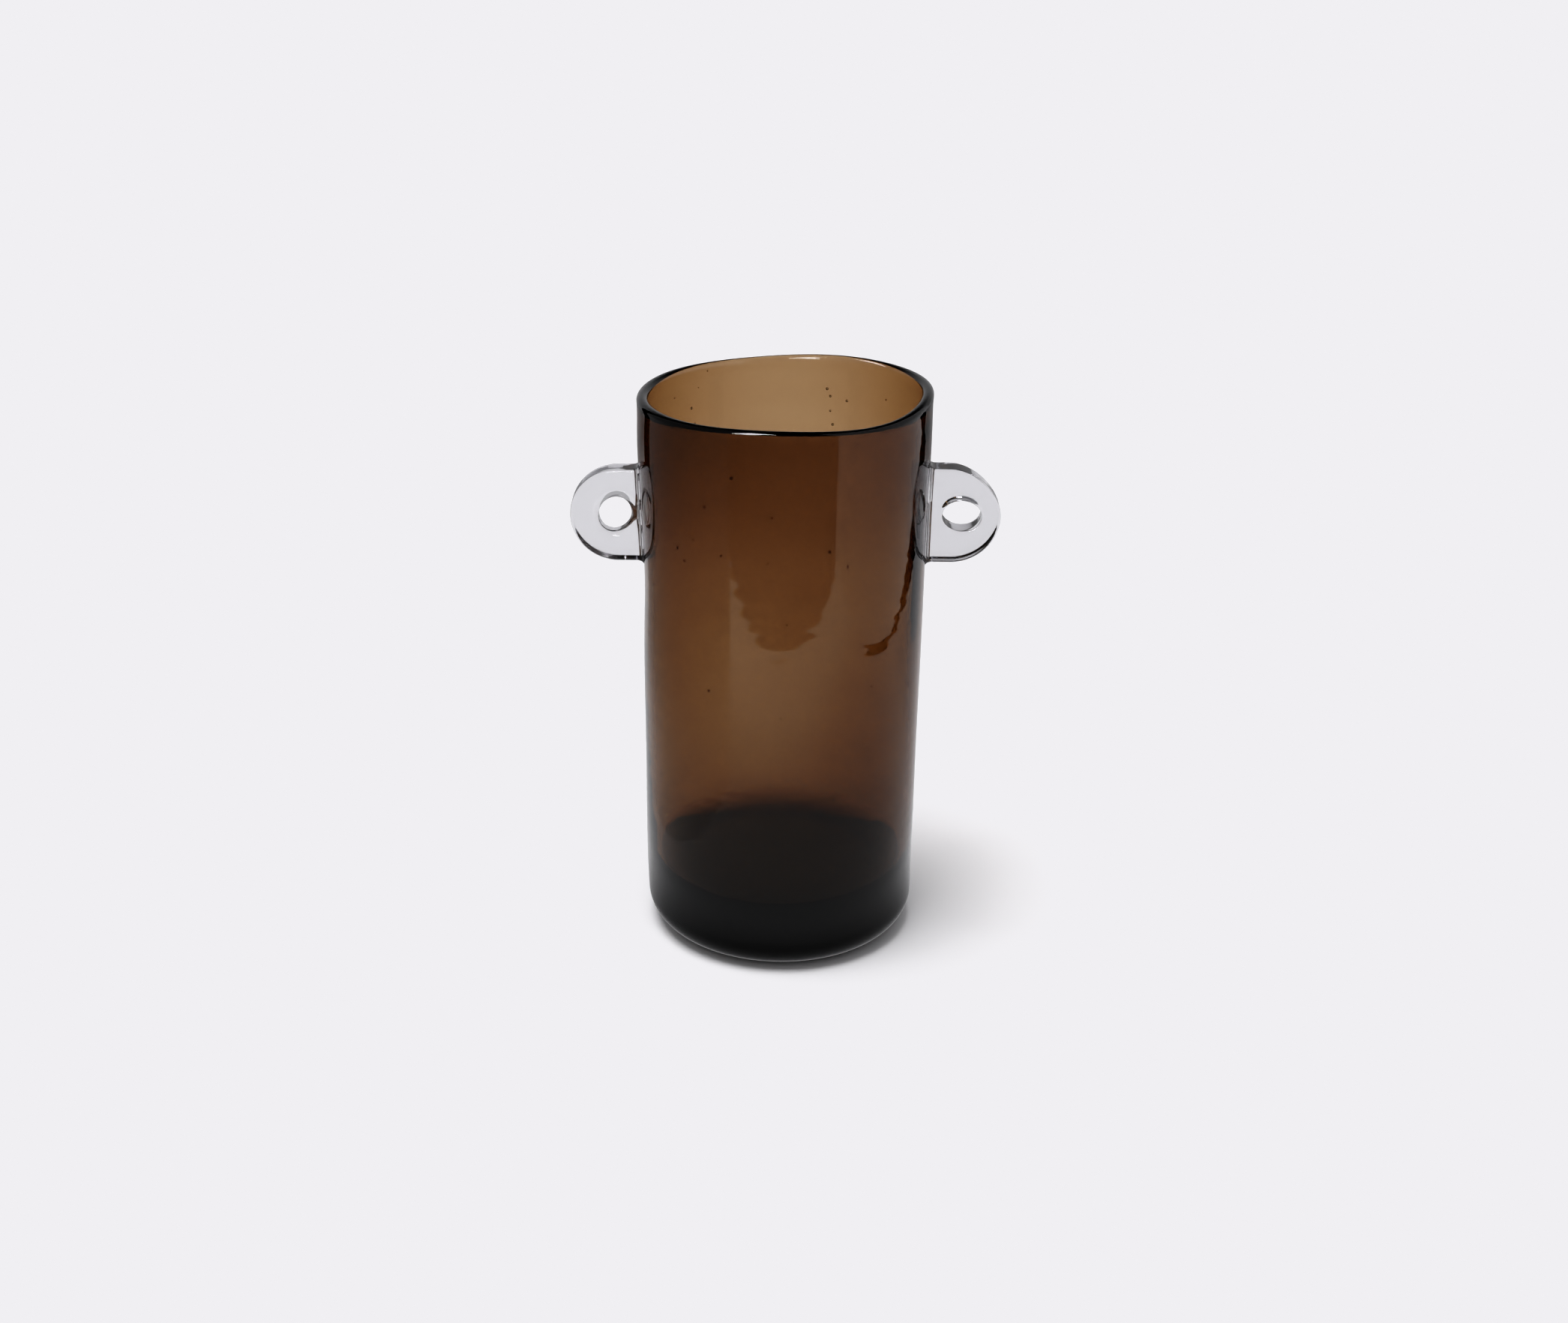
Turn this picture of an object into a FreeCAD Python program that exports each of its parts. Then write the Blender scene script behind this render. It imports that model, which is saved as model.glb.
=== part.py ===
import FreeCAD, Part
import math
import os

import Sketcher
from FreeCAD import Vector

# Hand-blown glass cylinder vase with two fused ring handles.
# Frame: millimetres, +Z up, vase axis on Z, foot on z = 0, handles on -X and +X.

SHEET = "Params"

# The driving dimensions. One row of the sheet each: alias, value.
DIMENSIONS = [
    ("vaseHeight", 251.0),
    ("rimRadius", 63.0),
    ("baseRadius", 60.25),
    ("wallThickness", 4.0),
    ("floorThickness", 25.5),
    ("footCornerRadius", 15.0),
    ("innerCornerRadius", 13.0),
    ("puntRadius", 38.0),
    ("puntDepth", 1.5),
    ("handleCentreHeight", 194.0),
    ("handleOutlineRadius", 20.8),
    ("handleThickness", 11.0),
    ("handleEdgeRadius", 2.0),
    ("handleHoleEdgeRadius", 3.2),
    ("handleRootInset", 50.0),
    ("rootFlareCentre", 57.5),
    ("rootFlareReach", 8.2),
    ("rootFlareHalfWidth", 13.0),
    ("rootFlareHalfHeight", 25.0),
    ("leftOutlineCentre", 72.0),
    ("leftHoleCentre", 73.8),
    ("leftHoleRadius", 7.0),
    ("rightOutlineCentre", 73.1),
    ("rightHoleCentre", 76.8),
    ("rightHoleRadius", 7.5),
]

SIZES = dict(DIMENSIONS)

# Sketch references: the origin point, and the horizontal and vertical axes.
ORIGIN = (-1, 1)
H_AXIS = -1
V_AXIS = -2
START, END, CENTRE = 1, 2, 3


def make_sheet(doc):
    """Fill the spreadsheet that drives every dimension."""
    sheet = doc.addObject("Spreadsheet::Sheet", SHEET)
    for row, (alias, value) in enumerate(DIMENSIONS, start=1):
        sheet.set("A%d" % row, alias)
        sheet.set("B%d" % row, str(value))
        sheet.setAlias("B%d" % row, alias)
    doc.recompute()
    return sheet


def origin_plane(body, role):
    """Return the body's own origin plane with this role."""
    for feature in body.Origin.OriginFeatures:
        if feature.Role == role:
            return feature
    raise RuntimeError("no %s in %s" % (role, body.Label))


def make_sketch(body, name):
    """Add an empty sketch on the body's XZ plane: sketch x is X, sketch y is Z."""
    sketch = body.newObject("Sketcher::SketchObject", name)
    sketch.AttachmentSupport = [(origin_plane(body, "XZ_Plane"), "")]
    sketch.MapMode = "FlatFace"
    return sketch


def dimension(sketch, name, expression, kind, *arguments):
    """Add a named driving constraint and bind it to the sheet."""
    index = sketch.addConstraint(Sketcher.Constraint(kind, *arguments))
    sketch.renameConstraint(index, name)
    sketch.setExpression("Constraints." + name, expression)


def relate(sketch, *relations):
    """Add geometric constraints, each given as (kind, arguments...)."""
    for relation in relations:
        sketch.addConstraint(Sketcher.Constraint(*relation))


def line(x0, y0, x1, y1):
    return Part.LineSegment(Vector(x0, y0, 0), Vector(x1, y1, 0))


def arc(x, y, radius, first, last):
    """Return a counter-clockwise arc between two angles in degrees."""
    circle = Part.Circle(Vector(x, y, 0), Vector(0, 0, 1), radius)
    return Part.ArcOfCircle(circle, math.radians(first), math.radians(last))


def draw_wall_profile(sketch):
    """Draw the half section: punt, foot, wall, fire-polished lip, inside and floor."""
    height, rim, base = (SIZES[key] for key in ("vaseHeight", "rimRadius", "baseRadius"))
    wall, floor = SIZES["wallThickness"], SIZES["floorThickness"]
    corner, inner = SIZES["footCornerRadius"], SIZES["innerCornerRadius"]
    punt, depth = SIZES["puntRadius"], SIZES["puntDepth"]
    lip = wall / 2
    punt_sphere = (punt ** 2 + depth ** 2) / (2 * depth)
    punt_edge = math.degrees(math.acos(punt / punt_sphere))

    pieces = [
        ("foot", line(punt, 0.0, base - corner, 0.0)),
        ("corner", arc(base - corner, corner, corner, -90, 0)),
        ("outer", line(base, corner, rim, height - lip)),
        ("lip", arc(rim - lip, height - lip, lip, 0, 180)),
        ("inside", line(rim - wall, height - lip, base - wall, floor + inner)),
        ("inner", arc(base - wall - inner, floor + inner, inner, -90, 0)),
        ("floor", line(base - wall - inner, floor, 0.0, floor)),
        ("axis", line(0.0, floor, 0.0, depth)),
        ("punt", arc(0.0, depth - punt_sphere, punt_sphere, punt_edge, 90)),
    ]
    clockwise = ("inner", "punt")
    rounds = ("corner", "lip", "inner")
    index = {name: sketch.addGeometry(curve, False) for name, curve in pieces}
    draft = sketch.addGeometry(line(base, 0.0, rim, height), True)

    def ends(name):
        """Return the (start, end) vertex numbers in the direction of travel."""
        return (END, START) if name in clockwise else (START, END)

    names = [name for name, _ in pieces]
    for name, following in zip(names, names[1:] + names[:1]):
        kind = "Tangent" if name in rounds or following in rounds else "Coincident"
        relate(sketch, (kind, index[name], ends(name)[1], index[following], ends(following)[0]))

    relate(
        sketch,
        ("PointOnObject", index["foot"], START, H_AXIS),
        ("Horizontal", index["foot"]),
        ("Horizontal", index["floor"]),
        ("PointOnObject", index["floor"], END, V_AXIS),
        ("PointOnObject", index["axis"], END, V_AXIS),
        ("PointOnObject", index["punt"], CENTRE, V_AXIS),
        ("PointOnObject", draft, START, H_AXIS),
        ("Tangent", index["outer"], draft),
        ("Parallel", index["inside"], index["outer"]),
    )
    sheet = SHEET + "."
    dimension(sketch, "base", sheet + "baseRadius", "DistanceX", *ORIGIN, draft, START, base)
    dimension(sketch, "rim", sheet + "rimRadius", "DistanceX", *ORIGIN, draft, END, rim)
    dimension(sketch, "height", sheet + "vaseHeight", "DistanceY", *ORIGIN, draft, END, height)
    dimension(sketch, "lipRadius", sheet + "wallThickness / 2", "Radius", index["lip"], lip)
    dimension(sketch, "lipCentre", "%svaseHeight - %swallThickness / 2" % (sheet, sheet),
              "DistanceY", *ORIGIN, index["lip"], CENTRE, height - lip)
    dimension(sketch, "cornerRadius", sheet + "footCornerRadius", "Radius", index["corner"], corner)
    dimension(sketch, "innerRadius", sheet + "innerCornerRadius", "Radius", index["inner"], inner)
    dimension(sketch, "floorTop", sheet + "floorThickness",
              "DistanceY", *ORIGIN, index["floor"], END, floor)
    dimension(sketch, "puntDepth", sheet + "puntDepth",
              "DistanceY", *ORIGIN, index["axis"], END, depth)
    dimension(sketch, "puntRadius", sheet + "puntRadius",
              "DistanceX", *ORIGIN, index["foot"], START, punt)


def make_vase(doc):
    """Revolve the half section into the blown cylinder."""
    body = doc.addObject("PartDesign::Body", "vase_body")
    sketch = make_sketch(body, "WallProfile")
    draw_wall_profile(sketch)
    revolve = body.newObject("PartDesign::Revolution", "BlownWall")
    revolve.Profile = sketch
    revolve.ReferenceAxis = (sketch, ["V_Axis"])
    revolve.Angle = 360.0
    sketch.Visibility = False
    return body


def draw_outline(sketch, centre_key):
    """Draw the handle's D outline, its straight side buried inside the vase wall."""
    centre, radius = SIZES[centre_key], SIZES["handleOutlineRadius"]
    height, inset = SIZES["handleCentreHeight"], SIZES["handleRootInset"]
    bottom, top = height - radius, height + radius

    round_side = sketch.addGeometry(arc(centre, height, radius, -90, 90), False)
    upper = sketch.addGeometry(line(centre, top, inset, top), False)
    closing = sketch.addGeometry(line(inset, top, inset, bottom), False)
    lower = sketch.addGeometry(line(inset, bottom, centre, bottom), False)
    relate(
        sketch,
        ("Tangent", round_side, END, upper, START),
        ("Coincident", upper, END, closing, START),
        ("Coincident", closing, END, lower, START),
        ("Tangent", lower, END, round_side, START),
        ("Horizontal", upper),
        ("Horizontal", lower),
        ("Vertical", closing),
    )
    sheet = SHEET + "."
    dimension(sketch, "centre", sheet + centre_key,
              "DistanceX", *ORIGIN, round_side, CENTRE, centre)
    dimension(sketch, "centreHeight", sheet + "handleCentreHeight",
              "DistanceY", *ORIGIN, round_side, CENTRE, height)
    dimension(sketch, "outlineRadius", sheet + "handleOutlineRadius", "Radius", round_side, radius)
    dimension(sketch, "inset", sheet + "handleRootInset",
              "DistanceX", *ORIGIN, closing, START, inset)


def draw_hole(sketch, centre_key, radius_key):
    """Draw the finger hole."""
    centre, radius, height = SIZES[centre_key], SIZES[radius_key], SIZES["handleCentreHeight"]
    circle = Part.Circle(Vector(centre, height, 0), Vector(0, 0, 1), radius)
    hole = sketch.addGeometry(circle, False)
    sheet = SHEET + "."
    dimension(sketch, "centre", sheet + centre_key, "DistanceX", *ORIGIN, hole, CENTRE, centre)
    dimension(sketch, "centreHeight", sheet + "handleCentreHeight",
              "DistanceY", *ORIGIN, hole, CENTRE, height)
    dimension(sketch, "holeRadius", sheet + radius_key, "Radius", hole, radius)


def draw_wall_cutter(sketch):
    """Draw half of the vase's outer cone, to cut the handle back to the wall."""
    height, rim, base = (SIZES[key] for key in ("vaseHeight", "rimRadius", "baseRadius"))
    corners = [(0.0, 0.0), (base, 0.0), (rim, height), (0.0, height)]
    sides = [
        sketch.addGeometry(line(*start, *end), False)
        for start, end in zip(corners, corners[1:] + corners[:1])
    ]
    for side, following in zip(sides, sides[1:] + sides[:1]):
        relate(sketch, ("Coincident", side, END, following, START))
    bottom, slope, top, axis = sides
    relate(
        sketch,
        ("Coincident", bottom, START, *ORIGIN),
        ("Horizontal", bottom),
        ("Horizontal", top),
        ("Vertical", axis),
    )
    sheet = SHEET + "."
    dimension(sketch, "base", sheet + "baseRadius", "DistanceX", *ORIGIN, slope, START, base)
    dimension(sketch, "rim", sheet + "rimRadius", "DistanceX", *ORIGIN, slope, END, rim)
    dimension(sketch, "height", sheet + "vaseHeight", "DistanceY", *ORIGIN, slope, END, height)


def edges_where(shape, wanted):
    """Return the names of the shape's edges that pass the test."""
    return [
        "Edge%d" % (i + 1)
        for i, edge in enumerate(shape.Edges)
        if not edge.Degenerated and wanted(edge)
    ]


def add_fillet(doc, body, name, edge_test, alias):
    """Round the edges of the body's tip that pass the test."""
    doc.recompute()
    tip = body.Tip
    names = edges_where(tip.Shape, edge_test)
    if not names:
        raise RuntimeError("%s found no edges" % name)
    fillet = body.newObject("PartDesign::Fillet", name)
    fillet.Base = (tip, names)
    fillet.setExpression("Radius", SHEET + "." + alias)
    return fillet


def make_handle(doc, node, side):
    """Build one ring handle toward +X; its placement turns it to its own side."""
    body = doc.addObject("PartDesign::Body", node)
    sheet = SHEET + "."
    half = SIZES["handleThickness"] / 2
    inset = SIZES["handleRootInset"]
    hole_radius = SIZES[side + "HoleRadius"]

    outline = make_sketch(body, side + "Outline")
    draw_outline(outline, side + "OutlineCentre")
    pad = body.newObject("PartDesign::Pad", side + "Ring")
    pad.Profile = outline
    pad.SideType = "Symmetric"
    pad.setExpression("Length", sheet + "handleThickness")

    def on_rim_of_face(edge):
        points = edge.discretize(3)
        return (all(abs(abs(p.y) - half) < 1e-3 for p in points)
                and any(p.x > inset + 1e-3 for p in points))

    add_fillet(doc, body, side + "RingRounding", on_rim_of_face, "handleEdgeRadius")

    flare = body.newObject("PartDesign::AdditiveEllipsoid", side + "RootFlare")
    flare.setExpression("Radius1", sheet + "rootFlareHalfHeight")
    flare.setExpression("Radius2", sheet + "rootFlareReach")
    flare.setExpression("Radius3", sheet + "rootFlareHalfWidth")
    flare.setExpression(".Placement.Base.x", sheet + "rootFlareCentre")
    flare.setExpression(".Placement.Base.z", sheet + "handleCentreHeight")

    hole_sketch = make_sketch(body, side + "HoleSketch")
    draw_hole(hole_sketch, side + "HoleCentre", side + "HoleRadius")
    hole = body.newObject("PartDesign::Pocket", side + "FingerHole")
    hole.Profile = hole_sketch
    hole.Type = "ThroughAll"
    hole.SideType = "Symmetric"

    def on_rim_of_hole(edge):
        curve = edge.Curve
        return (isinstance(curve, Part.Circle) and abs(curve.Radius - hole_radius) < 1e-3
                and abs(abs(curve.Center.y) - half) < 1e-3)

    add_fillet(doc, body, side + "HoleRounding", on_rim_of_hole, "handleHoleEdgeRadius")

    cutter = make_sketch(body, side + "WallCutter")
    draw_wall_cutter(cutter)
    groove = body.newObject("PartDesign::Groove", side + "WallSeat")
    groove.Profile = cutter
    groove.ReferenceAxis = (cutter, ["V_Axis"])
    groove.Angle = 360.0
    for sketch in (outline, hole_sketch, cutter):
        sketch.Visibility = False

    if side == "left":
        body.Placement = FreeCAD.Placement(Vector(0, 0, 0), FreeCAD.Rotation(Vector(0, 0, 1), 180))
    return body


def check(doc, bodies):
    """Stop if any feature failed, or if a body isn't one valid solid."""
    for obj in doc.Objects:
        if "Invalid" in obj.State or "Error" in obj.State:
            raise RuntimeError("%s is %s" % (obj.Label, obj.State))
    for sketch in doc.findObjects("Sketcher::SketchObject"):
        if not sketch.FullyConstrained:
            raise RuntimeError("%s is not fully constrained" % sketch.Label)
    for body in bodies:
        shape = body.Shape
        if shape.isNull() or not shape.isValid() or len(shape.Solids) != 1:
            raise RuntimeError("%s is not one valid solid" % body.Label)
        print("%-14s volume %.1f box %s" % (body.Label, shape.Volume, shape.BoundBox))
    for side in ("left", "right"):
        removed = (doc.getObject(side + "RootFlare").Shape.Volume
                   - doc.getObject(side + "FingerHole").Shape.Volume)
        if removed < 1000.0:
            raise RuntimeError("the %s finger hole removed only %.1f" % (side, removed))


def main():
    doc = FreeCAD.newDocument("GlassCylinderVase")
    make_sheet(doc)
    bodies = [
        make_vase(doc),
        make_handle(doc, "left_handle", "left"),
        make_handle(doc, "right_handle", "right"),
    ]
    doc.recompute()
    check(doc, bodies)
    os.makedirs("parts", exist_ok=True)
    for body in bodies:
        body.Shape.exportStep("parts/%s.step" % body.Label)


main()
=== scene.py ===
import math

import bpy
import numpy as np
from mathutils import Matrix, Vector


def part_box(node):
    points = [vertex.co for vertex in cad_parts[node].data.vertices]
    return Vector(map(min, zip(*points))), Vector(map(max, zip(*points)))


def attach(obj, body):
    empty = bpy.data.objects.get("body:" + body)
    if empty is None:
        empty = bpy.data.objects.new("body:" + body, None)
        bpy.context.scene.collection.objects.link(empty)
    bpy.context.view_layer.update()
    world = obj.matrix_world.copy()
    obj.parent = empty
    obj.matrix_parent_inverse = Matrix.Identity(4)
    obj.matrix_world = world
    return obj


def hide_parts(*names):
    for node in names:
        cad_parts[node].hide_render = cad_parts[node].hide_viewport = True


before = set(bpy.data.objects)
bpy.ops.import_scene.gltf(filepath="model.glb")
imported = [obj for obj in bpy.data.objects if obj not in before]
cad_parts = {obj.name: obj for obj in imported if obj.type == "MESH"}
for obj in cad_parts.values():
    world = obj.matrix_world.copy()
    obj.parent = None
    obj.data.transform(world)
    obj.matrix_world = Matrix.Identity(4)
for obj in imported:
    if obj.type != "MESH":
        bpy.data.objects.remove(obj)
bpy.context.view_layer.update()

# Lengths are in millimetres while shapes are worked out, and in metres in the scene.
MM = 0.001
BODY_LOW, BODY_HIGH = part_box("vase_body")

# ---------------------------------------------------------------- the blown body, in mm
CAD_RIM_RADIUS = (BODY_HIGH.x - BODY_LOW.x) / 2 / MM
CAD_HEIGHT = BODY_HIGH.z / MM
RIM_RADIUS = CAD_RIM_RADIUS * 0.9905
BASE_RADIUS = RIM_RADIUS * 0.96
MEAN_HEIGHT = CAD_HEIGHT - 2.8
FLOOR = 25.5
FOOT_CORNER = 15.0
PUNT_RADIUS = 39.0
PUNT_DEPTH = 1.5
RIM_LIFT_DEPTH = 28.0

# The wall is thinnest at mid height. It thickens to the foot and the rim, most at the sides.
THIN_WALL = 3.5
FOOT_THICKENING = 1.8
FOOT_FADE = 28.0
RIM_THICKENING = 0.8
FRONT_THICKENING = 0.8
SIDE_THICKENING = 0.8
INNER_CORNER = 13.0
INNER_CORNER_START = -8.0

# The lip swells a little each side, and in front it is thinner than the wall below it.
LIP_BEAD = 0.3
LIP_BEAD_DEPTH = 4.0
LIP_TAPER = 1.3
LIP_TAPER_DEPTH = 5.0
LIP_TAPER_BEHIND = 0.3
LIP_TAPER_TURN = 65

SPOKES = 240
RINGS = {
    "punt": 8, "foot": 3, "foot_corner": 18, "outside": 240,
    "lip": 22, "inside": 80, "inner_corner": 18, "floor": 10,
}

# The rim's uneven height: waves round the rim, height, azimuth of the crest in degrees.
RIM_WAVES = [(1, 1.55, 73), (2, 0.75, 238), (3, 0.48, -37), (4, 0.33, -34), (5, 0.19, 41)]

# Where the wall was pushed in or drawn out: azimuth, height, half width, half height, amount.
DENTS = [
    (-90, 226, 30, 16, 0.45),
    (-90, 168, 36, 26, -1.15),
    (-90, 42, 60, 30, 0.6),
    (90, 226, 30, 18, 0.35),
    (90, 95, 60, 45, -0.4),
]

# Where the wall is thicker, or thinner: azimuth, height, half width, half height, amount.
THICK_SPOTS = [
    (0, 165, 45, 45, 0.4),
    (50, 100, 40, 60, 1.0),
    (-50, 60, 45, 45, -0.5),
    (-25, 140, 35, 60, -0.55),
    (180, 240, 70, 40, 0.2),
    (40, 238, 32, 25, -0.6),
    (78, 170, 12, 45, 0.8),
]

# Seeds, the small bubbles in the glass: middle azimuth, spread, lowest, highest, how many.
SEEDS = [(180, 62, 208, 243, 16), (0, 70, 60, 236, 22), (0, 180, 45, 240, 12)]
SEED_RADII = (0.3, 0.7)
SEED_DEPTHS = (0.35, 0.65)


def smoothstep(low, high, value):
    t = np.clip((value - low) / (high - low), 0.0, 1.0)
    return t * t * (3 - 2 * t)


def random_waves(seed, count, turns, lengths, slope):
    """Cosine waves over the wall: turns round the vase, wavelength up it, phase and height."""
    rng = np.random.default_rng(seed)
    waves = []
    for _ in range(count):
        length = float(np.exp(rng.uniform(*np.log(lengths))))
        waves.append((
            int(rng.integers(turns[0], turns[1] + 1)) * int(rng.choice((-1, 1))),
            2 * math.pi / length,
            rng.uniform(0, 2 * math.pi),
            slope * length / (2 * math.pi),
        ))
    return waves


def wave_height(waves, azimuth, z):
    total = 0.0
    for turns, wave_number, phase, height in waves:
        total = total + height * np.cos(turns * azimuth + wave_number * z + phase)
    return total


SWELLS = random_waves(3, 8, (1, 3), (90.0, 260.0), 0.0018)
RIPPLES = random_waves(11, 18, (0, 9), (4.2, 11.0), 0.0017)
INNER_RIPPLES = random_waves(23, 10, (1, 4), (9.0, 40.0), 0.003)


def rim_lift(azimuth):
    """Height of the rim above its mean, by azimuth: 0 faces the viewer, 90 degrees is +X."""
    lift = 0.0
    for count, height, crest in RIM_WAVES:
        lift = lift + height * np.cos(count * azimuth - math.radians(crest))
    return lift


def swelling(spots, azimuth, z):
    """Soft round bumps over the wall."""
    total = 0.0
    for at, height, half_width, half_height, amount in spots:
        turn = np.angle(np.exp(1j * (azimuth - math.radians(at))))
        total = total + amount * np.exp(
            -(turn / math.radians(half_width)) ** 2 - ((z - height) / half_height) ** 2)
    return total


def cone_radius(z):
    return BASE_RADIUS + (RIM_RADIUS - BASE_RADIUS) * z / MEAN_HEIGHT


def outer_offset(azimuth, z):
    """How far the outside stands off its plain cone."""
    shape = wave_height(SWELLS, azimuth, z) + swelling(DENTS, azimuth, z)
    fade = smoothstep(0.0, 30.0, z)
    return (shape + wave_height(RIPPLES, azimuth, z)) * fade


def inner_offset(azimuth, z):
    shape = wave_height(SWELLS, azimuth, z) + swelling(DENTS, azimuth, z)
    return shape * smoothstep(0.0, 30.0, z) + wave_height(INNER_RIPPLES, azimuth, z)


def outer_radius(azimuth, z):
    return cone_radius(z) + outer_offset(azimuth, z)


def wall_thickness(azimuth, z):
    """Thickness of the blown wall, by azimuth and height."""
    foot = FOOT_THICKENING * np.exp(-(z - FLOOR) / FOOT_FADE)
    rim = RIM_THICKENING * smoothstep(150.0, 215.0, z)
    turn = np.angle(np.exp(1j * azimuth))
    front = FRONT_THICKENING * np.exp(-(turn / math.radians(60)) ** 2)
    side = SIDE_THICKENING * np.sin(azimuth) ** 2
    wall = THIN_WALL + swelling(THICK_SPOTS, azimuth, z)
    return wall + foot + rim + (front + side) * smoothstep(180.0, 240.0, z)


def lip_taper(azimuth):
    """How much thinner the lip is than the wall below it: most in front."""
    turn = np.angle(np.exp(1j * azimuth))
    front = np.exp(-(turn / math.radians(LIP_TAPER_TURN)) ** 2)
    return LIP_TAPER * (LIP_TAPER_BEHIND + (1 - LIP_TAPER_BEHIND) * front)


def lip_half(azimuth):
    """Half the thickness of the lip, where the taper has made it thinner than the wall."""
    return (wall_thickness(azimuth, MEAN_HEIGHT) - lip_taper(azimuth)) / 2


def lip_bead(z):
    """How far the fire-polished lip swells out, each side."""
    return LIP_BEAD * np.exp(-((MEAN_HEIGHT - z) / LIP_BEAD_DEPTH) ** 2)


def ring_outside(azimuth, share):
    """A ring on the outside wall, from the foot's corner (0) to the lip (1)."""
    top = MEAN_HEIGHT - lip_half(azimuth)
    z = FOOT_CORNER + (top - FOOT_CORNER) * share
    return outer_radius(azimuth, z) + lip_bead(z), z


def ring_lip(azimuth, degrees):
    """A ring round the fire-polished lip, from outside (0) over the top to inside (180)."""
    half = lip_half(azimuth)
    angle = math.radians(degrees)
    z = MEAN_HEIGHT - half
    middle = outer_radius(azimuth, z) - half
    return middle + (half + lip_bead(z)) * math.cos(angle), z + half * math.sin(angle)


def ring_inside(azimuth, share):
    """A ring on the inside wall, from the lip (0) to the floor's corner (1)."""
    top = MEAN_HEIGHT - lip_half(azimuth)
    bottom = FLOOR + INNER_CORNER * (1 + math.sin(math.radians(INNER_CORNER_START)))
    z = top + (bottom - top) * share ** 1.5
    inner = cone_radius(z) + inner_offset(azimuth, z) - wall_thickness(azimuth, z)
    start = MEAN_HEIGHT - LIP_TAPER_DEPTH
    taper = lip_taper(azimuth) * np.clip((z - start) / (top - start), 0.0, 1.0) ** 1.2
    return inner - lip_bead(z) + taper, z


def ring_inner_corner(azimuth, share):
    """A ring on the rounded corner between the inside wall (0) and the floor (1)."""
    start = math.radians(INNER_CORNER_START)
    wall, _ = ring_inside(azimuth, 1.0)
    angle = start + (-math.pi / 2 - start) * share
    middle = wall - INNER_CORNER * math.cos(start)
    return middle + INNER_CORNER * math.cos(angle), FLOOR + INNER_CORNER * (1 + math.sin(angle))


def body_rings(azimuth):
    """Every ring from under the foot, up the outside, over the lip and down to the floor."""
    foot = cone_radius(FOOT_CORNER) - FOOT_CORNER

    def shares(part):
        return np.linspace(0, 1, RINGS[part], endpoint=False)

    for share in shares("punt")[1:]:
        yield PUNT_RADIUS * share, PUNT_DEPTH * (1 - share ** 2)
    for share in shares("foot"):
        yield PUNT_RADIUS + (foot - PUNT_RADIUS) * share, 0.0
    for share in shares("foot_corner"):
        angle = math.pi / 2 * (share - 1)
        z = FOOT_CORNER * (1 + math.sin(angle))
        reach = outer_offset(azimuth, FOOT_CORNER) * share
        yield foot + FOOT_CORNER * math.cos(angle) + reach, z
    for share in shares("outside"):
        yield ring_outside(azimuth, share)
    for share in shares("lip"):
        yield ring_lip(azimuth, 180 * share)
    for share in shares("inside"):
        yield ring_inside(azimuth, share)
    for share in shares("inner_corner"):
        yield ring_inner_corner(azimuth, share)
    edge, _ = ring_inner_corner(azimuth, 1.0)
    for share in shares("floor"):
        yield edge * (1 - share), FLOOR


def small_ball(centre, radius, turns=10, rows=5):
    """Points and faces of a small closed ball, with its faces turned inwards."""
    points = [centre - (0, 0, radius)]
    for row in range(1, rows + 1):
        angle = math.pi * (row / (rows + 1) - 0.5)
        for i in range(turns):
            turn = 2 * math.pi * i / turns
            flat = radius * math.cos(angle)
            points.append(centre + (flat * math.cos(turn), flat * math.sin(turn),
                                    radius * math.sin(angle)))
    points.append(centre + (0, 0, radius))
    last = len(points) - 1
    faces = []
    for i in range(turns):
        j = (i + 1) % turns
        faces.append((0, 1 + i, 1 + j))
        for row in range(rows - 1):
            low, high = 1 + row * turns, 1 + (row + 1) * turns
            faces.append((low + i, high + i, high + j, low + j))
        top = 1 + (rows - 1) * turns
        faces.append((top + j, top + i, last))
    return points, faces


def seeds():
    """Centres and radii of the bubbles, all well inside the wall."""
    rng = np.random.default_rng(41)
    for middle, spread, low, high, count in SEEDS:
        for _ in range(count):
            azimuth = math.radians(middle + rng.uniform(-spread, spread))
            z = rng.uniform(low, high)
            radius = rng.uniform(*SEED_RADII)
            depth = wall_thickness(azimuth, z) * rng.uniform(*SEED_DEPTHS)
            out = outer_radius(azimuth, z) - depth
            yield np.array((out * math.sin(azimuth), -out * math.cos(azimuth), z)), radius


def mesh_object(name, points, faces, material):
    """A smooth-shaded mesh object from points in mm."""
    mesh = bpy.data.meshes.new(name)
    mesh.from_pydata((np.asarray(points) * MM).tolist(), [], faces)
    mesh.update()
    mesh.shade_smooth()
    mesh.materials.append(material)
    obj = bpy.data.objects.new(name, mesh)
    bpy.context.scene.collection.objects.link(obj)
    return obj


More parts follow.
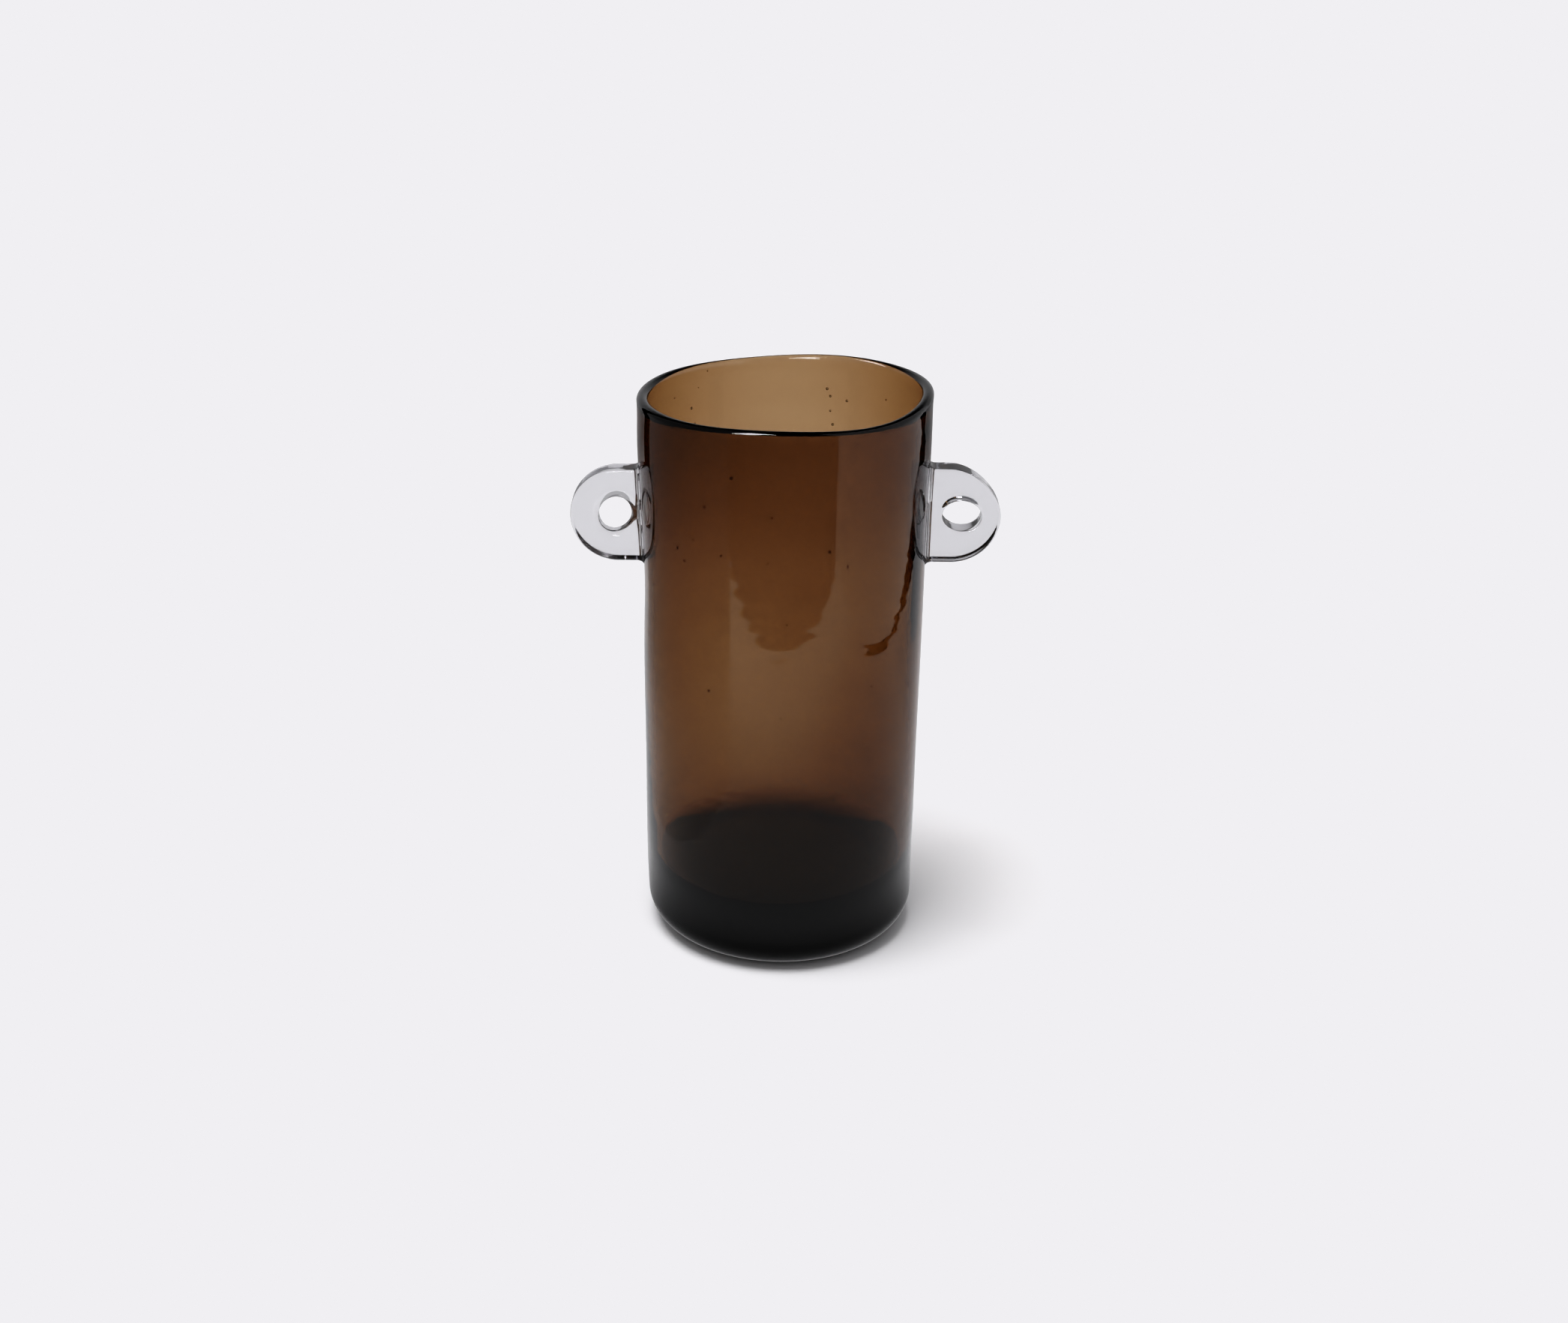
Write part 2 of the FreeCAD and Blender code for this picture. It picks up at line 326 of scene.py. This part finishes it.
def make_body(material):
    """Turn the section round the axis, with the blown wall's waves, dents and uneven rim."""
    azimuth = np.linspace(0, 2 * math.pi, SPOKES, endpoint=False)
    points = [(0.0, 0.0, PUNT_DEPTH)]
    rings = 0
    for radius, z in body_rings(azimuth):
        lift = rim_lift(azimuth) * smoothstep(MEAN_HEIGHT - RIM_LIFT_DEPTH, MEAN_HEIGHT, z)
        points += zip(radius * np.sin(azimuth), -radius * np.cos(azimuth), z + lift)
        rings += 1
    points.append((0.0, 0.0, FLOOR))

    last = len(points) - 1
    faces = []
    for i in range(SPOKES):
        j = (i + 1) % SPOKES
        faces.append((0, 1 + j, 1 + i))
        for ring in range(rings - 1):
            low, high = 1 + ring * SPOKES, 1 + (ring + 1) * SPOKES
            faces.append((low + i, low + j, high + j, high + i))
        top = 1 + (rings - 1) * SPOKES
        faces.append((top + i, top + j, last))

    for centre, radius in seeds():
        more_points, more_faces = small_ball(centre, radius)
        start = len(points)
        points += [tuple(point) for point in more_points]
        faces += [tuple(start + corner for corner in face) for face in more_faces]
    return mesh_object("vase_body_blown", points, faces, material)


# ---------------------------------------------------------------- the ring handles, in mm
HANDLES = {
    "left_handle": {
        "side": -1, "height": 193.3, "outline_centre": 71.2, "outline": 20.6, "fall": 0.0,
        "thickness": 10.5, "edge": 1.4, "hole_centre": 72.6, "hole": (6.9, 7.9),
        "hole_edge": 3.4, "hole_turn": 25,
    },
    "right_handle": {
        "side": 1, "height": 194.8, "outline_centre": 72.0, "outline": 21.1, "fall": 0.13,
        "thickness": 11.0, "edge": 1.1, "hole_centre": 76.4, "hole": (8.5, 6.8),
        "hole_edge": 0.6, "hole_turn": -6,
    },
}
CELL = 0.55
HOLE_BLEND = 0.8

# The root is a fillet over the wall, and goes this far into it so that no gap shows.
ROOT_BLEND = 3.2
ROOT_SINK = 0.3
EMBED = 0.15


def smooth_min(a, b, reach):
    """The smaller of two distances, with a fillet of about this reach where they meet."""
    h = np.clip(0.5 + 0.5 * (b - a) / reach, 0.0, 1.0)
    return b + (a - b) * h - reach * h * (1 - h)


def handle_distance(shape, x, y, z):
    """Signed distance from the handle's glass, roughly, in mm in the frame's axes."""
    out = shape["side"] * x
    up = z - shape["height"]

    beyond = np.maximum(out - shape["outline_centre"], 0.0)
    sunk = up + shape["fall"] * beyond * smoothstep(-6.0, 14.0, up)
    outline = np.hypot(beyond, sunk) - shape["outline"]
    half = shape["thickness"] / 2
    edge = shape["edge"]
    across, along = np.abs(y) - half + edge, outline + edge
    slab = (np.minimum(np.maximum(across, along), 0.0)
            + np.hypot(np.maximum(across, 0.0), np.maximum(along, 0.0)) - edge)

    wide, tall = shape["hole"]
    turn = math.radians(shape["hole_turn"])
    side, rise = out - shape["hole_centre"], up
    side, rise = (side * math.cos(turn) + rise * math.sin(turn),
                  rise * math.cos(turn) - side * math.sin(turn))
    spread = np.hypot(side / wide, rise / tall)
    hole = (spread - 1) * min(wide, tall)
    round_off = shape["hole_edge"]
    near_face = np.clip(np.abs(y) - half + round_off, 0.0, round_off)
    flare = round_off - np.sqrt(np.maximum(round_off ** 2 - near_face ** 2, 0.0))
    ring = -smooth_min(-slab, hole - flare, HOLE_BLEND)

    azimuth = np.arctan2(x, -y)
    wall = np.hypot(x, y) - outer_radius(azimuth, z)
    fused = smooth_min(ring, wall + ROOT_SINK, ROOT_BLEND)
    return np.maximum(fused, -(wall + EMBED))


def surface_net(distance, low, high, cell):
    """Points and quads of the zero surface of a distance function, on a grid of cells."""
    axes = [np.arange(a, b + cell, cell) for a, b in zip(low, high)]
    grid = np.stack(np.meshgrid(*axes, indexing="ij"), axis=-1)
    value = distance(grid[..., 0], grid[..., 1], grid[..., 2])
    inside = value < 0
    shape = np.array(inside.shape) - 1
    crossing = np.zeros(shape, dtype=int)
    total = np.zeros((*shape, 3))
    corners = [(i, j, k) for i in (0, 1) for j in (0, 1) for k in (0, 1)]
    window = {c: tuple(slice(c[n], c[n] + shape[n]) for n in range(3)) for c in corners}
    for a in corners:
        for axis in range(3):
            if a[axis]:
                continue
            b = tuple(v + (n == axis) for n, v in enumerate(a))
            va, vb = value[window[a]], value[window[b]]
            hit = inside[window[a]] != inside[window[b]]
            step = np.where(hit, va / np.where(va == vb, 1.0, va - vb), 0.0)
            point = np.array(a, dtype=float) + step[..., None] * (np.array(b) - np.array(a))
            total += np.where(hit[..., None], point, 0.0)
            crossing += hit
    used = crossing > 0
    index = np.full(used.shape, -1)
    index[used] = np.arange(used.sum())
    cells = np.argwhere(used)
    points = (cells + total[used] / crossing[used][:, None]) * cell + np.array(low)

    quads = []
    for axis in range(3):
        u, v = (axis + 1) % 3, (axis + 2) % 3
        ahead = np.roll(inside, -1, axis=axis)
        changed = inside != ahead
        for at in np.argwhere(changed):
            if at[axis] >= shape[axis] or at[u] < 1 or at[v] < 1:
                continue
            ring = []
            for du, dv in ((-1, -1), (0, -1), (0, 0), (-1, 0)):
                corner = at.copy()
                corner[u] += du
                corner[v] += dv
                ring.append(int(index[tuple(corner)]))
            quads.append(tuple(ring if inside[tuple(at)] else ring[::-1]))
    return points, quads


def settle(distance, points, rounds=6, step=0.01):
    """Move points onto the zero surface along its gradient."""
    for _ in range(rounds):
        x, y, z = points.T
        here = distance(x, y, z)
        slope = np.stack([
            distance(x + step, y, z) - distance(x - step, y, z),
            distance(x, y + step, z) - distance(x, y - step, z),
            distance(x, y, z + step) - distance(x, y, z - step),
        ], axis=1) / (2 * step)
        length = np.maximum((slope ** 2).sum(axis=1), 0.1)
        points = points - slope * (here / length)[:, None]
    return points


def make_handle(node, material):
    """One hand-shaped ring, with its root fused over the wall."""
    shape = HANDLES[node]

    def distance(x, y, z):
        return handle_distance(shape, x, y, z)

    reach = shape["outline_centre"] + shape["outline"] + 2
    ends = sorted((shape["side"] * 52.0, shape["side"] * reach))
    tall = shape["outline"] + 9
    low = (ends[0], -16.0, shape["height"] - tall)
    high = (ends[1], 16.0, shape["height"] + tall)
    points, quads = surface_net(distance, low, high, CELL)
    return mesh_object(node + "_ring", settle(distance, points), quads, material)


# ---------------------------------------------------------------- glass
def new_material(name):
    material = bpy.data.materials.new(name)
    material.use_nodes = True
    tree = material.node_tree
    tree.nodes.clear()
    return material, tree


def glass(name, absorbed, bump_scale, bump_distance):
    """Clear solid glass that takes this much light per metre, in red, green and blue."""
    material, tree = new_material(name)
    nodes, links = tree.nodes, tree.links
    output = nodes.new("ShaderNodeOutputMaterial")
    surface = nodes.new("ShaderNodeBsdfPrincipled")
    surface.inputs["Base Color"].default_value = (1, 1, 1, 1)
    surface.inputs["Transmission Weight"].default_value = 1.0
    surface.inputs["IOR"].default_value = 1.5
    links.new(surface.outputs["BSDF"], output.inputs["Surface"])

    density = max(absorbed) * 1.02
    volume = nodes.new("ShaderNodeVolumeAbsorption")
    volume.inputs["Density"].default_value = density
    volume.inputs["Color"].default_value = (*[1 - a / density for a in absorbed], 1)
    links.new(volume.outputs["Volume"], output.inputs["Volume"])

    place = nodes.new("ShaderNodeTexCoord")
    stretch = nodes.new("ShaderNodeMapping")
    stretch.inputs["Scale"].default_value = bump_scale
    links.new(place.outputs["Object"], stretch.inputs["Vector"])
    noise = nodes.new("ShaderNodeTexNoise")
    noise.inputs["Scale"].default_value = 1.0
    noise.inputs["Detail"].default_value = 1.0
    links.new(stretch.outputs["Vector"], noise.inputs["Vector"])
    bump = nodes.new("ShaderNodeBump")
    bump.inputs["Strength"].default_value = 1.0
    bump.inputs["Distance"].default_value = bump_distance
    links.new(noise.outputs["Fac"], bump.inputs["Height"])
    links.new(bump.outputs["Normal"], surface.inputs["Normal"])

    haze = nodes.new("ShaderNodeTexNoise")
    haze.inputs["Scale"].default_value = 60.0
    haze.inputs["Detail"].default_value = 4.0
    links.new(place.outputs["Object"], haze.inputs["Vector"])
    rough = nodes.new("ShaderNodeMapRange")
    rough.inputs["From Min"].default_value = 0.55
    rough.inputs["From Max"].default_value = 0.8
    rough.inputs["To Min"].default_value = 0.0
    rough.inputs["To Max"].default_value = 0.03
    links.new(haze.outputs["Fac"], rough.inputs["Value"])
    links.new(rough.outputs["Result"], surface.inputs["Roughness"])
    return material


# ---------------------------------------------------------------- stage
# Places here are in metres. The cards are seen only in reflections or only through the
# glass, so that the glass shows bands of light and dark while the ground stays plain.
BACKDROP = (0.871, 0.863, 0.888)
TABLE_FRONT = -0.40
LEFT_CARD = -0.15
RIGHT_CARD = 0.36
RIGHT_CARD_GLOW = 0.94
CARD_LIFT = 0.0003
CEILING_GLOW = 0.4
CEILING_HEIGHT = 0.34
SOFTBOX_GLOW = 16.0
SOFTBOX_FROM = (-0.85, -0.37, 1.15)
SOFTBOX_TARGET = (0, 0, 0.25)
SOFTBOX_LEFT, SOFTBOX_RIGHT, SOFTBOX_HALF = -0.9, 1.0, 0.5


def plain(name, colour):
    material, tree = new_material(name)
    output = tree.nodes.new("ShaderNodeOutputMaterial")
    surface = tree.nodes.new("ShaderNodeBsdfDiffuse")
    surface.inputs["Color"].default_value = (*colour, 1)
    tree.links.new(surface.outputs["BSDF"], output.inputs["Surface"])
    return material


def glowing(name, strength):
    """An even grey glow."""
    material, tree = new_material(name)
    output = tree.nodes.new("ShaderNodeOutputMaterial")
    surface = tree.nodes.new("ShaderNodeEmission")
    surface.inputs["Color"].default_value = (1, 1, 1, 1)
    surface.inputs["Strength"].default_value = strength
    tree.links.new(surface.outputs["Emission"], output.inputs["Surface"])
    return material, surface


def map_range(tree, value, start, end, low, high):
    """A smooth step of a value from one range to another."""
    node = tree.nodes.new("ShaderNodeMapRange")
    node.interpolation_type = "SMOOTHSTEP"
    for name, number in (("From Min", start), ("From Max", end), ("To Min", low), ("To Max", high)):
        node.inputs[name].default_value = number
    tree.links.new(value, node.inputs["Value"])
    return node.outputs["Result"]


def maths(tree, operation, *values):
    node = tree.nodes.new("ShaderNodeMath")
    node.operation = operation
    for socket, value in zip(node.inputs, values):
        if isinstance(value, (int, float)):
            socket.default_value = value
        else:
            tree.links.new(value, socket)
    return node.outputs["Value"]


def ground_place(tree):
    """Where a point of a card is: its coordinates, and how far it is from the origin."""
    place = tree.nodes.new("ShaderNodeNewGeometry").outputs["Position"]
    split = tree.nodes.new("ShaderNodeSeparateXYZ")
    tree.links.new(place, split.inputs["Vector"])
    length = tree.nodes.new("ShaderNodeVectorMath")
    length.operation = "LENGTH"
    tree.links.new(place, length.inputs[0])
    return split.outputs, length.outputs["Value"]


def glowing_table():
    """A painted reflection of the table for the glass to mirror: painted shadow darkens it by the
    foot, and painted light makes it brighter towards the front edge and dimmer behind and far back.
    """
    material, surface = glowing("table_in_reflections", 1.0)
    tree = material.node_tree
    at, distance = ground_place(tree)
    # Painted contact shadow: the mirrored table darkens within a few centimetres of the foot.
    foot_shadow = map_range(tree, distance, 0.062, 0.105, 0.5, 1.0)
    in_front = map_range(tree, at["Y"], -0.34, -0.2, 1.14, 0.9)
    behind = map_range(tree, at["Y"], 0.0, 0.15, 1.0, 0.76)
    far = map_range(tree, at["Y"], 0.4, 0.62, 1.0, 0.5)
    near = maths(tree, "MULTIPLY", foot_shadow, in_front)
    away = maths(tree, "MULTIPLY", behind, far)
    tree.links.new(maths(tree, "MULTIPLY", near, away), surface.inputs["Strength"])
    return material


def glowing_card():
    """A dim card, lit by the table along its foot."""
    material, surface = glowing("left_card", 1.0)
    tree = material.node_tree
    at, _ = ground_place(tree)
    glow = map_range(tree, at["Z"], 0.02, 0.12, 0.75, 0.42)
    tree.links.new(glow, surface.inputs["Strength"])
    return material


def glowing_pool():
    """Lit table round the foot, fading out to nothing."""
    material, surface = glowing("lit_table", 0.95)
    tree = material.node_tree
    _, distance = ground_place(tree)
    clear = tree.nodes.new("ShaderNodeBsdfTransparent")
    mix = tree.nodes.new("ShaderNodeMixShader")
    tree.links.new(map_range(tree, distance, 0.07, 0.13, 0.0, 1.0), mix.inputs["Fac"])
    tree.links.new(surface.outputs["Emission"], mix.inputs[1])
    tree.links.new(clear.outputs["BSDF"], mix.inputs[2])
    output = next(node for node in tree.nodes if node.type == "OUTPUT_MATERIAL")
    tree.links.new(mix.outputs["Shader"], output.inputs["Surface"])
    return material


def panel(name, corners, material):
    """A flat panel, with corners in metres."""
    mesh = bpy.data.meshes.new(name)
    mesh.from_pydata(corners, [], [range(len(corners))])
    mesh.materials.append(material)
    obj = bpy.data.objects.new(name, mesh)
    bpy.context.scene.collection.objects.link(obj)
    return obj


def only_in_reflections(obj):
    obj.visible_camera = False
    obj.visible_diffuse = False
    obj.visible_transmission = False
    obj.visible_shadow = False
    obj.visible_volume_scatter = False
    return obj


def only_through_glass(obj):
    only_in_reflections(obj)
    obj.visible_glossy = False
    obj.visible_transmission = True
    return obj


def upright(name, start, end, low, high, material):
    """A vertical card between two points of the floor plan, seen only in reflections."""
    corners = [(*start, low), (*end, low), (*end, high), (*start, high)]
    return only_in_reflections(panel(name, corners, material))


def make_stage():
    size = 9.0
    floor = panel("floor", [(-size, -size, 0), (size, -size, 0), (size, size, 0), (-size, size, 0)],
                  plain("pale_floor", (0.80, 0.80, 0.80)))
    floor.location.z = -0.0001
    floor.visible_glossy = False

    front, back, side = TABLE_FRONT, 4.0, 0.6
    table = [(-side, front, 0), (side, front, 0), (side, back, 0), (-side, back, 0)]
    only_in_reflections(panel("table_card", table, glowing_table()))

    pale, _ = glowing("right_card", RIGHT_CARD_GLOW)
    # The black sheets, seen only in reflections, are painted shade: a dark strip on the table along
    # the foot of the right card, and a dark band just past the left card.
    painted_shade, _ = glowing("gap", 0.0)
    bend, turn, end = (RIGHT_CARD, -0.165), (0.425, 0.1), (0.64, 0.56)
    upright("right_card_front", (RIGHT_CARD, -0.44), bend, -0.5, 1.2, pale)
    upright("right_card_middle", bend, turn, 0.0, 1.2, pale)
    upright("right_card_back", turn, end, 0.0, 1.2, pale)
    gap = [bend, turn, end, (0.50, 0.56), (0.415, 0.28), (0.407, 0.1), (0.353, -0.165)]
    only_in_reflections(panel("right_shade_gap", [(*point, CARD_LIFT) for point in gap], painted_shade))
    upright("left_card", (LEFT_CARD, -0.19), (LEFT_CARD, 0.048), 0.0, 0.6, glowing_card())
    upright("left_shade_gap_beyond", (LEFT_CARD, 0.048), (LEFT_CARD, 0.085), 0.14, 0.6, painted_shade)
    upright("left_card_beyond", (LEFT_CARD, 0.048), (LEFT_CARD, 0.14), 0.0, 0.14, glowing_card())

    # Seen only through the glass: lit table round the back of the foot, and pale ceiling
    # past the sides of the vase, for the edges of the clear handles.
    behind = [(-0.14, 0.035), (0.14, 0.035), (0.14, 0.15), (-0.14, 0.15)]
    behind = [(*point, CARD_LIFT) for point in behind]
    only_through_glass(panel("table_behind", behind, glowing_pool()))
    pale_ceiling, _ = glowing("pale_ceiling", CEILING_GLOW)
    for side in (-1, 1):
        near, far = sorted((side * 0.069, side * 0.3))
        above = [(near, -0.4), (far, -0.4), (far, 0.5), (near, 0.5)]
        above = [(*point, CEILING_HEIGHT) for point in above]
        name = "ceiling_left" if side < 0 else "ceiling_right"
        only_through_glass(panel(name, above, pale_ceiling))

    softbox, _ = glowing("softbox", SOFTBOX_GLOW)
    left, right, half = SOFTBOX_LEFT, SOFTBOX_RIGHT, SOFTBOX_HALF
    corners = [(left, -half, 0), (right, -half, 0), (right, half, 0), (left, half, 0)]
    box = panel("key_softbox", corners, softbox)
    box.matrix_world = aim(Vector(SOFTBOX_FROM), Vector(SOFTBOX_TARGET))
    only_in_reflections(box)


def aim(place, target):
    turn = (target - place).to_track_quat("-Z", "Y").to_matrix().to_4x4()
    return Matrix.Translation(place) @ turn


def make_key():
    key = bpy.data.lights.new("key", "SUN")
    key.energy = KEY_LIGHT
    key.angle = math.radians(KEY_WIDTH)
    obj = bpy.data.objects.new("key", key)
    bpy.context.scene.collection.objects.link(obj)
    obj.matrix_world = aim(Vector(KEY_FROM), Vector((0, 0, 0)))
    obj.visible_glossy = False


# The key is a sun of this strength and width in degrees. The room's light falls on surfaces,
# and the dark room, its ceiling and the backdrop's glow are what the glass mirrors and shows.
KEY_LIGHT = 2.36
KEY_WIDTH = 30.0
KEY_FROM = (-0.15, -0.13, 1.0)
ROOM_LIGHT = 0.59
DARK_ROOM = 0.3
DARK_CEILING = 0.03
BACKDROP_GLOW = 0.6

# The view's tone curve, light in and light out: a soft toe, and an even pale ground.
TONES = [(0.0, 0.0), (0.02, 0.003), (0.04, 0.01), (0.08, 0.0315), (0.12, 0.065), (0.16, 0.104),
         (0.2, 0.147), (0.3, 0.267), (0.4, 0.386), (0.7, 0.71), (0.85, 0.868), (0.9, 0.888),
         (1.2, 0.888), (1.6, 1.0)]
WHITE = (0.981, 0.972, 1.0)


def make_world():
    """A pale backdrop all round, under a dark ceiling, in a dark room."""
    world = bpy.data.worlds.new("studio")
    bpy.context.scene.world = world
    world.use_nodes = True
    tree = world.node_tree
    tree.nodes.clear()
    path = tree.nodes.new("ShaderNodeLightPath")
    place = tree.nodes.new("ShaderNodeTexCoord")
    split = tree.nodes.new("ShaderNodeSeparateXYZ")
    tree.links.new(place.outputs["Generated"], split.inputs["Vector"])

    def light(colour, strength):
        node = tree.nodes.new("ShaderNodeBackground")
        node.inputs["Color"].default_value = (*colour, 1)
        if isinstance(strength, float):
            node.inputs["Strength"].default_value = strength
        else:
            tree.links.new(strength, node.inputs["Strength"])
        return node.outputs["Background"]

    def choose(factor, first, second):
        node = tree.nodes.new("ShaderNodeMixShader")
        tree.links.new(factor, node.inputs["Fac"])
        tree.links.new(first, node.inputs[1])
        tree.links.new(second, node.inputs[2])
        return node.outputs["Shader"]

    ceiling = map_range(tree, split.outputs["Z"], 0.35, 0.65, 1.0, DARK_CEILING)
    room = map_range(tree, split.outputs["Y"], 0.1, 0.5, DARK_ROOM, BACKDROP_GLOW)
    seen = light((1, 1, 1), maths(tree, "MULTIPLY", ceiling, room))
    chosen = choose(path.outputs["Is Diffuse Ray"], seen, light((1, 1, 1), ROOM_LIGHT))
    chosen = choose(path.outputs["Is Camera Ray"], chosen, light(BACKDROP, 1.0))
    output = tree.nodes.new("ShaderNodeOutputWorld")
    tree.links.new(chosen, output.inputs["Surface"])


CAMERA_LENS = 51.65
CAMERA_FROM = (0.00076, -0.9163, 0.5161)
CAMERA_DOWN = 23.16
CAMERA_ROLL = 0.65


def make_camera():
    data = bpy.data.cameras.new("camera")
    data.sensor_width = 36.0
    data.lens = CAMERA_LENS
    camera = bpy.data.objects.new("camera", data)
    bpy.context.scene.collection.objects.link(camera)
    pitch = Matrix.Rotation(math.radians(90 - CAMERA_DOWN), 4, "X")
    roll = Matrix.Rotation(math.radians(CAMERA_ROLL), 4, "Z")
    camera.matrix_world = Matrix.Translation(CAMERA_FROM) @ pitch @ roll
    bpy.context.scene.camera = camera


def develop(view):
    """Put the tones, and the cool cast of white, on the view's curves."""
    view.use_curve_mapping = True
    mapping = view.curve_mapping
    mapping.extend = "HORIZONTAL"
    mapping.clip_max_x = TONES[-1][0]
    for curve, level in zip(mapping.curves, WHITE):
        tones = [(light, shown * level) for light, shown in TONES]
        curve.points[0].location = tones[0]
        curve.points[-1].location = tones[-1]
        for place in tones[1:-1]:
            curve.points.new(*place)
        for point in curve.points:
            point.handle_type = "AUTO_CLAMPED"
    mapping.update()


def set_up_render():
    scene = bpy.context.scene
    scene.view_settings.view_transform = "Standard"
    scene.view_settings.look = "None"
    develop(scene.view_settings)
    cycles = scene.cycles
    cycles.use_denoising = True
    cycles.max_bounces = 32
    cycles.transmission_bounces = 32
    cycles.glossy_bounces = 16
    cycles.diffuse_bounces = 6
    cycles.sample_clamp_indirect = 10.0


# How much red, green and blue light each glass takes per metre, and its surface ripples:
# their scale along each axis and their height in metres.
BROWN_GLASS = ((236.0, 319.0, 430.0), (22, 22, 380), 0.000006)
CLEAR_GLASS = ((39.0, 39.0, 37.0), (90, 90, 90), 0.00001)


def main():
    brown = glass("brown_glass", *BROWN_GLASS)
    clear = glass("clear_glass", *CLEAR_GLASS)
    body = make_body(brown)
    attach(body, "root")
    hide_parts("vase_body")
    for node in HANDLES:
        handle = make_handle(node, clear)
        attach(handle, "root")
        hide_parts(node)
    make_stage()
    make_key()
    make_world()
    make_camera()
    set_up_render()


main()
